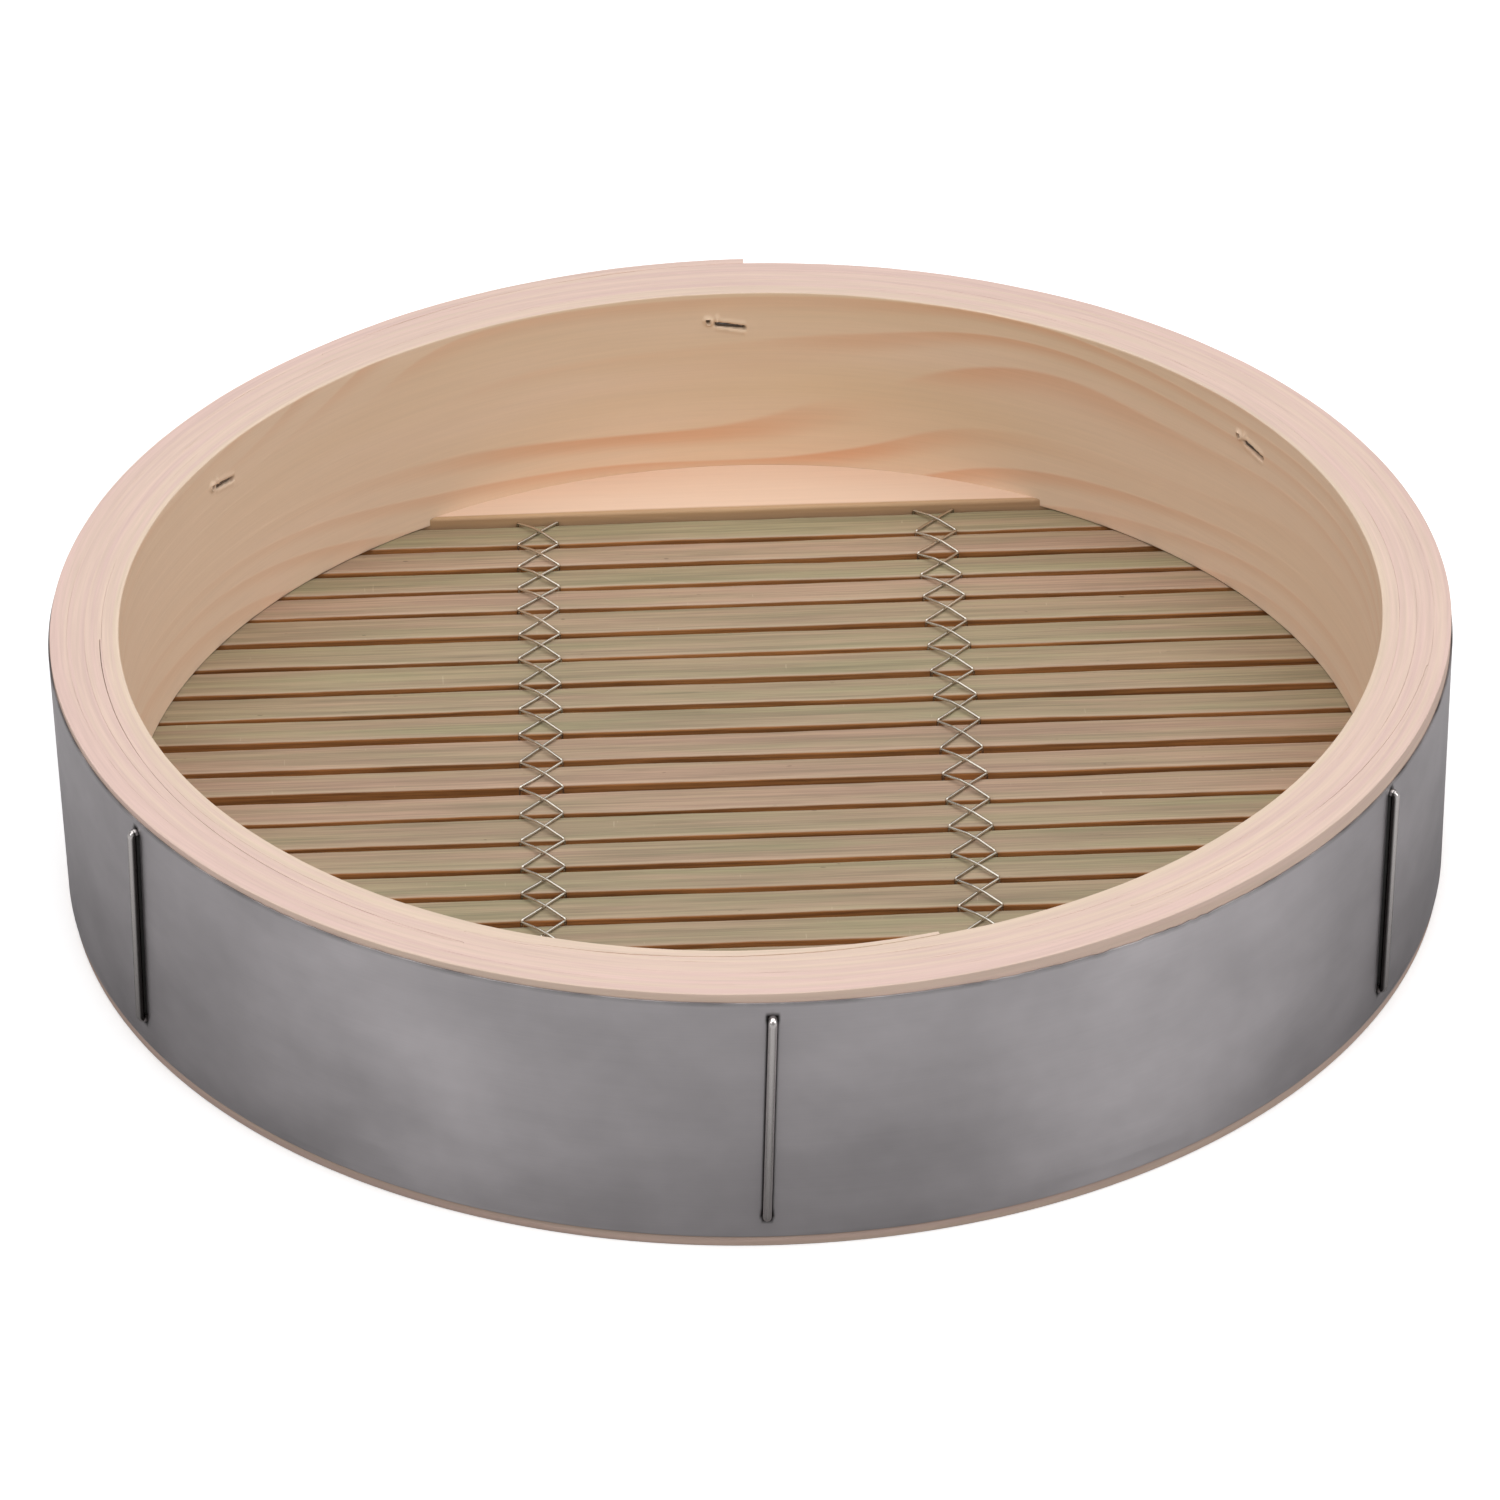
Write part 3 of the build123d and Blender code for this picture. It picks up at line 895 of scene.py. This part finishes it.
@dataclass
class WoundHoop:
    """The six wooden strips of the hoop, the liner and the lower ring."""

    finish: bpy.types.Material
    staples: StapleSet
    step_angle: float = 0.5
    flame_azimuth: float = 88.0
    flame_spread: float = 42.0
    calm_figure: float = 0.22
    near_prong: float = 4.2
    near_prong_step: float = 0.13
    sanded_edge: float = 0.35 * MM
    unevenness: float = 0.05 * MM
    crest_room: float = 0.08 * MM
    layer_tones: tuple[float, ...] = (0.50, 0.62, 0.75, 0.85)
    plies: tuple[Ply, ...] = (
        Ply("liner_inner_ply", 0, -76.0, -1, 40.0, inner_tip=1.15 * MM, inner_step=1.1 * MM),
        Ply("liner_outer_ply", 1, 184.0, 1, 60.5, gap=0.12 * MM),
        Ply("hoop_inner_ply", 2, 300.0, 1, 45.0),
        Ply("hoop_outer_ply", 3, 130.0, -1, 41.5, outer_tip=2.4 * MM, outer_step=2.4 * MM),
        Ply("lower_ring_inner_ply", 0, 10.0, 1, 35.0),
        Ply("lower_ring_outer_ply", 1, 190.0, 1, 35.0),
    )

    def build(self) -> None:
        """Builds and settles every ply."""
        for number, ply in enumerate(self.plies):
            settle(self.strip(ply, number), ply.node)

    def stations(self, ply: Ply, dense: bool) -> Array:
        """Angles along a winding, closer together at its ends and, if asked, at the prongs."""
        step = self.step_angle * (1.5 if dense else 1.0)
        parts = [np.arange(0, ply.length, step), [ply.length],
                 [ply.lap, ply.lap + 0.1, 359.9, 360.0]]
        if dense:
            for place in self.staples.places:
                near = (ply.turn * (place.azimuth - ply.start)) % 360
                for turn in (near, near + 360):
                    parts.append(np.arange(turn - self.near_prong, turn + self.near_prong,
                                           self.near_prong_step))
        angles = np.unique(np.concatenate(parts).round(4))
        return angles[(angles >= 0) & (angles <= ply.length)]

    def wall_shares(self, foot: float, top: float) -> Array:
        """Shares up the inner wall, close together over the heights that the prongs reach."""
        exit_height = self.staples.exit_height
        reach = np.linspace(exit_height - 4.5 * MM, exit_height + 5.5 * MM, 24)
        return np.unique(np.concatenate([face_shares(12), (reach - foot) / (top - foot)]))

    def strip(self, ply: Ply, number: int) -> Piece:
        """One ply: a rounded strip section carried along its winding.

        Args:
            ply: The ply's own facts.
            number: The ply's place in the list, which sets its unevenness and its figure.

        Returns:
            The ply's object.
        """
        low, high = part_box(ply.node)
        inside, outside = ply.faces()
        faces_room = ply.node == "liner_inner_ply"
        outermost = ply.node == RIM_NODE
        inner_round = (0.32 if ply.layer == 0 else 0.05) * MM
        outer_round = (0.22 if outermost else 0.05) * MM
        section = rounded_section(
            (inner_round, inner_round, outer_round, outer_round), side_rows=6, level_rows=8,
            arc_steps=4, low_side=self.wall_shares(low.z, high.z) if faces_room else None)
        angle = self.stations(ply, faces_room)
        azimuth = ply.azimuth(angle)
        along = np.radians(angle) * outside
        side, height = carry_section(section, *ply.radii(angle), low.z, high.z, room=1.6 * MM)
        above = height.max(1, keepdims=True) - height
        below = height - height.min(1, keepdims=True)
        cut = np.clip(1 - np.minimum(above, below) / self.sanded_edge, 0, 1)
        crest = self.unevenness * ripple(along, Seed.PLY_CREST + number, longest=0.05) - self.crest_room
        height += (section.up > 0.5) * crest[:, None]
        wall = self.unevenness * ripple(along, Seed.PLY_WALL + number)
        side += (section.across < 0.5) * wall[:, None]
        # Painted shade in the hollows round the prongs, none elsewhere.
        dark = np.zeros_like(side)
        if faces_room:
            relief, dark = self.prong_relief(inside, azimuth[:, None], side, height)
            side -= relief
        if outermost:
            cut = np.maximum(cut, 0.8 * (section.across > 0.99))
        flame = bell(degrees_apart(azimuth, self.flame_azimuth), self.flame_spread)
        depth = side - inside
        inner_edge = (ply.layer == 0) * bell(depth, 1.3 * MM, 4)
        return solid_piece(
            ply.node.replace("_ply", "_strip"), polar(side, azimuth[:, None], height), len(angle),
            self.finish,
            strip=vertex_rows(along[:, None] + 1.7 * number, height, depth + 0.013 * number),
            cut=cut, tone=self.layer_tones[ply.layer] - 0.45 * inner_edge,
            figure=np.repeat(self.calm_figure + (1 - self.calm_figure) * flame, section.count), dark=dark)

    def prong_relief(
        self, inside: float, azimuth: Array, side: Array, height: Array
    ) -> tuple[Array, Array]:
        """How far the inner wall stands inwards round the sunk prongs, and where shade is painted into it.

        Each prong lies in a narrow groove with its wood pushed up along both lips. Beside it the
        wood is torn up into a lump round a pinhole, and into a sliver over the leg's own hole.

        Args:
            inside: Radius of the wall.
            azimuth: Azimuths of the stations, as a column.
            side: Radii of the grid.
            height: Heights of the grid.

        Returns:
            The inward height of the relief over the grid, and the painted shade in its hollows.
        """
        relief, dark = np.zeros_like(side), np.zeros_like(side)
        on_wall = (side < inside + 0.8 * MM) & (height < 66.8 * MM)
        wires = self.staples
        for number, place in enumerate(wires.places):
            x = -np.radians(degrees_apart(azimuth, place.azimuth)) * inside
            z = height - wires.exit_height - place.lift + wires.prong_drop * x / wires.prong_length
            within = np.clip((x + 0.6 * MM) / (0.6 * MM), 0, 1)
            within = within * np.clip((wires.prong_length + 0.9 * MM - x) / (0.7 * MM), 0, 1)
            hollow = bell(z, 0.52 * MM, 4) * within
            pinhole = bell(np.hypot(x + 2.1 * MM, z - 0.5 * MM), 0.55 * MM, 4)
            lips = bell(np.abs(z) - 1.3 * MM, 0.5 * MM) * within
            lump = bell(np.hypot(x + 2.0 * MM, z - 0.6 * MM), 1.25 * MM, 4)
            sliver = bell(x - 0.2 * MM, 0.4 * MM) * bell(z - 1.5 * MM, 1.0 * MM)
            strength = 0.85 + 0.2 * math.sin(7.0 * number)
            raised = 0.22 * lips + 0.75 * lump + 0.7 * sliver - 1.4 * hollow - 1.8 * pinhole
            relief += on_wall * strength * MM * raised
            # Painted shade in the groove and the pinhole.
            dark = np.maximum(dark, on_wall * np.maximum(0.9 * hollow, pinhole))
        return relief, dark


@dataclass
class SteelBand:
    """The sheet steel band: it climbs the outer ply's end and laps on itself at the back."""

    finish: bpy.types.Material
    staples: StapleSet
    start: float = 100.0
    lap: float = 10.5
    clearance: float = 0.04 * MM
    thickness: float = 0.4 * MM
    ply_end: float = 88.5
    ply_lap: float = 41.5
    ply_step: float = 2.4 * MM
    groove_depth: float = 0.2 * MM
    groove_width: float = 1.2 * MM
    outline_width: float = 1.30 * MM
    soil_depth: float = 0.32 * MM
    waviness: float = 0.05 * MM

    def seat(self, angle: Array) -> Array:
        """Inner radius of the band at an angle along it: the wood below it, then its own start."""
        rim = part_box(RIM_NODE)[1].x + self.clearance
        to_end = self.start - self.ply_end
        ramp = self.ply_step * (1 - to_end / self.ply_lap)
        start_ramp = 360 - (self.ply_lap - to_end)
        over = self.clearance + self.thickness
        last = self.ply_step * (1 - (to_end - self.lap) / self.ply_lap)
        knots = [0, to_end, to_end + 5, to_end + 11, start_ramp, 358.5, 360, 360 + self.lap]
        rise = [ramp, self.ply_step, 0.45 * self.ply_step, 0, 0, ramp * 0.95, ramp + over, last + over]
        return rim + np.interp(angle, knots, rise)

    @staticmethod
    def upper_edge(azimuth: Array, radius: float) -> Array:
        """Height of the cut upper edge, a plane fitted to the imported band's upper vertices."""
        co = node_points("steel_band")
        edge = co[co[:, 2] > co[:, 2].max() - 2.5 * MM]
        sides = np.column_stack([edge[:, 0], edge[:, 1], np.ones(len(edge))])
        slope_x, slope_y, level = np.linalg.lstsq(sides, edge[:, 2], rcond=None)[0]
        turn = np.radians(azimuth)
        return level + radius * (slope_x * np.cos(turn) + slope_y * np.sin(turn))

    def stations(self) -> Array:
        """Angles along the band from its start, closer together at the staples."""
        near = [np.arange(place.azimuth - place.lean - 1.7, place.azimuth + 1.7, 0.05)
                for place in self.staples.places]
        close = (self.start - np.concatenate(near)) % 360
        even = np.arange(0, 360 + self.lap, 0.6)
        angle = np.concatenate([even, close, close[close < self.lap] + 360, [360 + self.lap]])
        return np.unique(angle.round(4))

    def build(self) -> None:
        """Builds the band as a thin strip, grooved under the staples, with a worn upper edge, painted
        shade round the staples and a darker line along the upper edge.
        """
        low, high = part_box("steel_band")
        angle = self.stations()
        azimuth = self.start - angle
        along = np.radians(angle) * high.x
        inner = self.seat(angle)
        section = rounded_section((0.08 * MM,) * 4, level_rows=1, arc_steps=2, far_side_rows=56)
        top = self.upper_edge(azimuth, high.x) + self.burr(azimuth, along)
        side, height = carry_section(section, inner, inner + self.thickness, low.z, top, room=0.2 * MM)
        wave = self.waviness * ripple(along, Seed.BAND_WAVE, longest=0.11)
        side += wave[:, None] * np.sin(np.pi * section.up)
        gap = self.staples.distance(high.x, azimuth[:, None], height)
        outer_face = section.across > 0.5
        side -= outer_face * self.groove_depth * bell(gap, self.groove_width)
        # Painted shade: a dark outline round each staple's wire and holes on the outer face.
        stain = outer_face * bell(np.maximum(gap, 0), self.outline_width, 8)
        # A darker line of uneven strength along the upper edge.
        soiled = 0.42 + 0.25 * ripple(along, Seed.BAND_SOIL, waves=6, longest=0.03)[:, None]
        stain = np.maximum(stain, soiled * bell(top[:, None] - height, self.soil_depth))
        piece = solid_piece("steel_band_sheet", polar(side, azimuth[:, None], height), len(angle),
                            self.finish, vertex_rows(along[:, None], height, side - inner[:, None]),
                            crease=50, stain=stain)
        settle(piece, "steel_band")

    def burr(self, azimuth: Array, along: Array) -> Array:
        """Small nicks below the sheared upper edge, strongest at the front right."""
        worn = bell(azimuth + 62, 14) + 0.7 * bell(azimuth + 128, 9)
        jag = np.abs(ripple(along, Seed.BAND_JAG, waves=7, longest=0.012))
        return -0.4 * MM * worn * jag - 0.05 * MM * np.abs(ripple(along, Seed.BAND_NICK, longest=0.1))


# ---------------------------------------------------------------- the floor


@dataclass
class SlatFloor:
    """The bamboo slats, the wooden end plates and the crossbars below them."""

    slat_finish: bpy.types.Material
    plate_finish: bpy.types.Material
    bar_finish: bpy.types.Material
    slat_waver: float = 0.2 * MM
    slat_lift: float = 0.07 * MM
    slat_crown: float = 0.22 * MM
    slat_stations: int = 221
    plate_waver: float = 0.08 * MM
    bar_waver: float = 0.06 * MM
    wall_radius: dict[str, float] = field(
        default_factory=lambda: {"front": 147.65 * MM, "back": 148.75 * MM})
    tones: tuple[float, ...] = (
        0.10, 0.80, 0.15, 0.85, 0.45, 0.30, 0.35, 0.40, 0.30, 0.75, 0.85,
        0.80, 0.35, 0.45, 0.25, 0.30, 0.40, 0.55, 0.30, 0.60, 0.35, 0.45,
    )

    @property
    def slat_nodes(self) -> list[str]:
        """The slats' nodes from the back to the front, one for each tone."""
        return [f"slat_{number + 1:02d}" for number in range(len(self.tones))]

    def build(self) -> None:
        """Builds and settles the slats, the plates and the bars."""
        for number, node in enumerate(self.slat_nodes, 1):
            settle(self.slat(node, number), node)
        for place in ("front", "back"):
            settle(self.end_plate(place), f"end_plate_{place}")
        for place in ("left", "right"):
            settle(self.crossbar(place), f"crossbar_{place}")

    @staticmethod
    def long_edges(co: Array, x: Array) -> list[Array]:
        """The y of a slat's front and back edge at each x, straight lines through its corners."""
        lines = []
        for pick in (np.argmin, np.argmax):
            left, right = (half[pick(half[:, 1])] for half in (co[co[:, 0] < 0], co[co[:, 0] > 0]))
            slope = (right[1] - left[1]) / (right[0] - left[0])
            lines.append(left[1] + slope * (x - left[0]))
        return lines

    def slat(self, node: str, number: int) -> Piece:
        """One slat: a rounded section carried along X, crowned on top, with uneven edges.

        Args:
            node: The CAD node that it stands for.
            number: The slat's number, from 1 at the back.

        Returns:
            The slat's object.
        """
        low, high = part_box(node)
        co = node_points(node)
        radius = float(np.hypot(co[:, 0], co[:, 1]).max())
        section = rounded_section((0.35 * MM, 0.6 * MM, 0.6 * MM, 0.35 * MM), side_rows=3,
                                  level_rows=8, arc_steps=4)
        x = np.linspace(-1, 1, self.slat_stations) * radius
        near, far = self.long_edges(co, x)
        near = near + self.slat_waver * ripple(x, Seed.SLAT_FRONT + number, longest=0.13)
        far = far + self.slat_waver * ripple(x, Seed.SLAT_BACK + number, longest=0.13)
        top = high.z + self.slat_lift * (ripple(x, Seed.SLAT_TOP + number, longest=0.16) - 1)
        side, height = carry_section(section, near, far, low.z, top, room=1.0 * MM)
        width = (far - near)[:, None]
        across = (side - near[:, None]) / width
        height -= (section.up > 0.5) * self.slat_crown * (2 * across - 1) ** 2
        reach = np.sqrt(np.maximum(radius**2 - side**2, 0)) / radius
        skin_foot = np.where(section.across < 0.5, -0.24 * MM, -0.45 * MM)
        skin = np.broadcast_to((section.up > 0.5) & (section.up_offset > skin_foot), side.shape)
        # rim paints a highlight along the front edge, fading over 0.8 mm.
        return solid_piece(f"bamboo_{node}", vertex_rows(x[:, None] * reach, side, height), len(x),
                           self.slat_finish, skin=skin, rim=np.clip(1 - across * width / (0.8 * MM), 0, 1),
                           tone=np.full(side.size, self.tones[number - 1]))

    def end_plate(self, place: str) -> Piece:
        """One segment plate: a section from its straight edge to the circle, carried along X.

        Above the slats' tops the plate stops short of the wall, so the liner goes over its rim.
        """
        low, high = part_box(f"end_plate_{place}")
        sign = 1 if place == "back" else -1
        edge, tip = sorted((abs(low.y), abs(high.y)))
        half = math.sqrt(tip**2 - edge**2) - 0.4 * MM
        x = np.linspace(-half, half, 181)
        section = rounded_section((0.5 * MM, 0.8 * MM, 0.3 * MM, 0.3 * MM), level_rows=24, arc_steps=4)
        near = edge + self.plate_waver * (ripple(x, Seed.PLATE + sign, longest=0.1) + 1)
        far = np.maximum(np.sqrt(tip**2 - x**2), near + 0.3 * MM)
        side, height = carry_section(section, near, far, low.z, high.z, room=1.2 * MM)
        inside = np.sqrt(np.maximum(self.wall_radius[place] ** 2 - x**2, 0))[:, None]
        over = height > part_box("slat_01")[1].z + 0.2 * MM
        side = np.where(over, np.minimum(side, np.maximum(inside, near[:, None])), side)
        # cut marks the upright straight edge, which takes the darker browns of painted shade.
        return solid_piece(f"segment_plate_{place}", vertex_rows(x[:, None], sign * side, height), len(x),
                           self.plate_finish, cut=np.broadcast_to(section.across < 0.01, side.shape))

    def crossbar(self, place: str) -> Piece:
        """One crossbar: a rounded section carried along Y under the slats."""
        low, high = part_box(f"crossbar_{place}")
        y = np.linspace(low.y, high.y, 161)
        section = rounded_section((0.6 * MM, 0.25 * MM, 0.25 * MM, 0.6 * MM), side_rows=3, level_rows=5)
        wander = self.bar_waver * ripple(y, Seed.CROSSBAR + len(place))
        near, far = low.x + self.bar_waver + wander, high.x - self.bar_waver + wander
        side, height = carry_section(section, near, far, low.z, high.z, room=1.2 * MM)
        return solid_piece(f"floor_bar_{place}", vertex_rows(side, y[:, None], height), len(y),
                           self.bar_finish, vertex_rows(y[:, None], side, height))


@dataclass
class Lashing:
    """Two wires to a crossbar: crossed on every slat, down in the gap and under the bar."""

    finish: bpy.types.Material
    floor: SlatFloor
    radius: float = 0.35 * MM
    clearance: float = 0.05 * MM
    gap_offset: float = 0.4 * MM
    sway: float = 0.4 * MM
    flat_share: float = 0.13
    sides: int = 8

    def build(self) -> None:
        """Builds and settles both wires of both bars."""
        rows = self.rows()
        for place in ("left", "right"):
            for layer, side in (("upper", -1), ("lower", 1)):
                node = f"lashing_{place}_{layer}"
                settle(self.wire(node, place, side, rows), node)

    def rows(self) -> Array:
        """Middles of the gaps that the wires go down in, from the back plate to the front one."""
        boxes = [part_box(node) for node in self.floor.slat_nodes]
        fronts = np.array([low.y for low, _ in boxes])
        backs = np.array([high.y for _, high in boxes])
        between = (fronts[:-1] + backs[1:]) / 2
        end_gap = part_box("end_plate_back")[0].y - backs[0]
        return np.concatenate([[backs[0] + end_gap / 2], between, [fronts[-1] - end_gap / 2]])

    def wire(self, node: str, place: str, side: int, rows: Array) -> Piece:
        """One lashing wire along the whole floor, each leg standing off the bar by its own sway.

        Args:
            node: The CAD node that it stands for.
            place: Which crossbar it is on.
            side: The side of the bar that it starts on, -1 or 1.
            rows: The gaps' middles.

        Returns:
            The wire's object.
        """
        low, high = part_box(f"crossbar_{place}")
        centre = (low.x + high.x) / 2
        start = centre + side * ((high.x - low.x) / 2 + self.radius + self.clearance)
        end = 2 * centre - start
        foot = low.z - self.radius - self.clearance
        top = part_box("slat_01")[1].z + self.radius + 0.02 * MM
        over = 2 * self.radius + self.clearance
        hump = top + (over if side < 0 else 0.0)
        foot -= 0.0 if side < 0 else over
        tail = side * 2 * self.radius
        parts: list[Array] = [np.array([[centre + tail, rows[0], foot]])]
        last = len(rows) - 2
        step = self.flat_share * (end - start)
        draw = np.random.default_rng(Seed.LASHING + 2 * len(place) + side)
        for number, (row, after) in enumerate(zip(rows, rows[1:])):
            down, up = side * self.sway * draw.uniform(0, 1, 2)
            bow = self.sway * draw.uniform(-0.6, 0.6)
            y = row - (0 if number == 0 else self.gap_offset)
            z = after + (0 if number == last else self.gap_offset)
            middle, flat = (y + z) / 2 + bow, self.flat_share * (z - y)
            parts.append(np.array([
                [start + down, y, foot],
                [start + down, y, top],
                [centre - step, middle - flat, hump],
                [centre + step, middle + flat, hump],
                [end - up, z, top],
                [end - up, z, foot],
            ]))
        parts.append(np.array([[centre - tail, rows[-1], foot]]))
        path = soften(guard_corners(np.vstack(parts), 0.7 * MM), 2)
        points, strip = wire_surface(path, self.radius, self.radius, self.sides)
        return solid_piece(f"{node}_wire", points, len(path), self.finish, strip, crease=80)


# ---------------------------------------------------------------- the studio


@dataclass
class Studio:
    """The camera, the pale floor and the soft lights."""

    azimuth: float = -1.5
    elevation: float = 31.274
    distance: float = 8.9776
    lens: float = 150.38
    pan: float = 0.026
    tilt: float = -1.426
    roll: float = 1.1105
    floor_reach: float = 6.0

    def build(self) -> None:
        """Makes the camera, the floor and the lights."""
        self.place_camera()
        self.lay_floor()
        self.light()

    def place_camera(self) -> None:
        """Stands the camera off the upper rim's centre by a number of hoop radii, and turns it."""
        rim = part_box(RIM_NODE)[1]
        turn, rise = math.radians(self.azimuth), math.radians(self.elevation)
        back = Vector((math.sin(turn) * math.cos(rise), -math.cos(turn) * math.cos(rise), math.sin(rise)))
        right = Vector((math.cos(turn), math.sin(turn), 0))
        up = right.cross(-back)
        swing = Matrix.Rotation(math.radians(self.pan), 3, up) @ Matrix.Rotation(
            math.radians(self.tilt), 3, right)
        forward = swing @ -back
        twist = Matrix.Rotation(math.radians(self.roll), 3, forward) @ swing
        data = bpy.data.cameras.new("studio_camera")
        data.sensor_width = 36.0
        data.lens = self.lens
        data.clip_start, data.clip_end = 0.05, 20.0
        camera = link_object("studio_camera", data)
        basis = Matrix((twist @ right, twist @ up, -forward)).transposed().to_4x4()
        basis.translation = Vector((0, 0, rim.z)) + back * (self.distance * rim.x)
        camera.matrix_world = basis
        bpy.context.scene.camera = camera

    def lay_floor(self) -> None:
        """A wide pale floor, clear from below; to other rays it is grey, with painted shade darkening it
        round the tier, which shows in reflections.
        """
        reach = self.floor_reach
        corners = [(-reach, -reach, 0), (reach, -reach, 0), (reach, reach, 0), (-reach, reach, 0)]
        mesh = bpy.data.meshes.new("studio_floor")
        mesh.from_pydata(corners, [], [(0, 1, 2, 3)])
        material = bpy.data.materials.new("pale_paper")
        material.use_nodes = True
        bench = NodeBench(material.node_tree)
        shader = material.node_tree.nodes["Principled BSDF"]
        seen = bench.add("LightPath").outputs["Is Camera Ray"]
        away = bench.add("VectorMath", operation="LENGTH")
        bench.through(away, bench.add("TexCoord").outputs["Object"])
        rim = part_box(RIM_NODE)[1].x
        # Painted shade: darker round the tier, for rays other than the camera's.
        grey = bench.ramp(away.outputs["Value"], rim, rim + 0.11, 0.13, 0.46)
        bench.feed(shader.inputs["Base Color"], bench.mix(seen, grey, (0.90, 0.90, 0.90, 1)))
        bench.feed(shader.inputs["Emission Strength"], bench.times(seen, 0.3))
        shader.inputs["Emission Color"].default_value = (1, 1, 1, 1)
        shader.inputs["Roughness"].default_value = 0.9
        behind = bench.add("NewGeometry").outputs["Backfacing"]
        clear = bench.add("BsdfTransparent").outputs[0]
        sided = bench.through(bench.add("MixShader"), behind, shader.outputs[0], clear)
        bench.feed(material.node_tree.nodes["Material Output"].inputs["Surface"], sided)
        mesh.materials.append(material)
        link_object("studio_floor", mesh)

    def light(self) -> None:
        """A dim surround, one wide soft light overhead and two low ones at the sides."""
        world = bpy.data.worlds.new("studio_surround")
        world.use_nodes = True
        surround = world.node_tree.nodes["Background"].inputs
        surround["Color"].default_value = (1, 1, 1, 1)
        surround["Strength"].default_value = 0.30
        bpy.context.scene.world = world
        self.soft_box("overhead", (0.0, -0.1, 1.7), 3.0, 43.0)
        self.soft_box("left_side", (-1.5, -1.1, 0.9), 0.8, 5.0)
        self.soft_box("right_side", (1.6, -0.9, 0.8), 0.8, 7.0)

    @staticmethod
    def soft_box(name: str, place: Triple, size: float, power: float) -> None:
        """A square area light that faces the hoop."""
        data = bpy.data.lights.new(name, "AREA")
        data.shape = "SQUARE"
        data.size = size
        data.energy = power
        lamp = link_object(name, data)
        lamp.location = place
        lamp.rotation_mode = "QUATERNION"
        lamp.rotation_quaternion = (-Vector(place)).to_track_quat("-Z", "Y")


def main() -> None:
    """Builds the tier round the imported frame, then the studio."""
    logging.basicConfig(level=logging.INFO, format="%(name)s: %(message)s")
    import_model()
    bpy.context.scene.view_settings.view_transform = "Standard"
    Studio().build()
    finishes = make_finishes()
    staples = StapleSet(finishes["staple"])
    WoundHoop(finishes["hoop"], staples).build()
    SteelBand(finishes["band"], staples).build()
    staples.build()
    floor = SlatFloor(finishes["slat"], finishes["plate"], finishes["crossbar"])
    floor.build()
    Lashing(finishes["lashing"], floor).build()


if __name__ == "__main__":
    main()
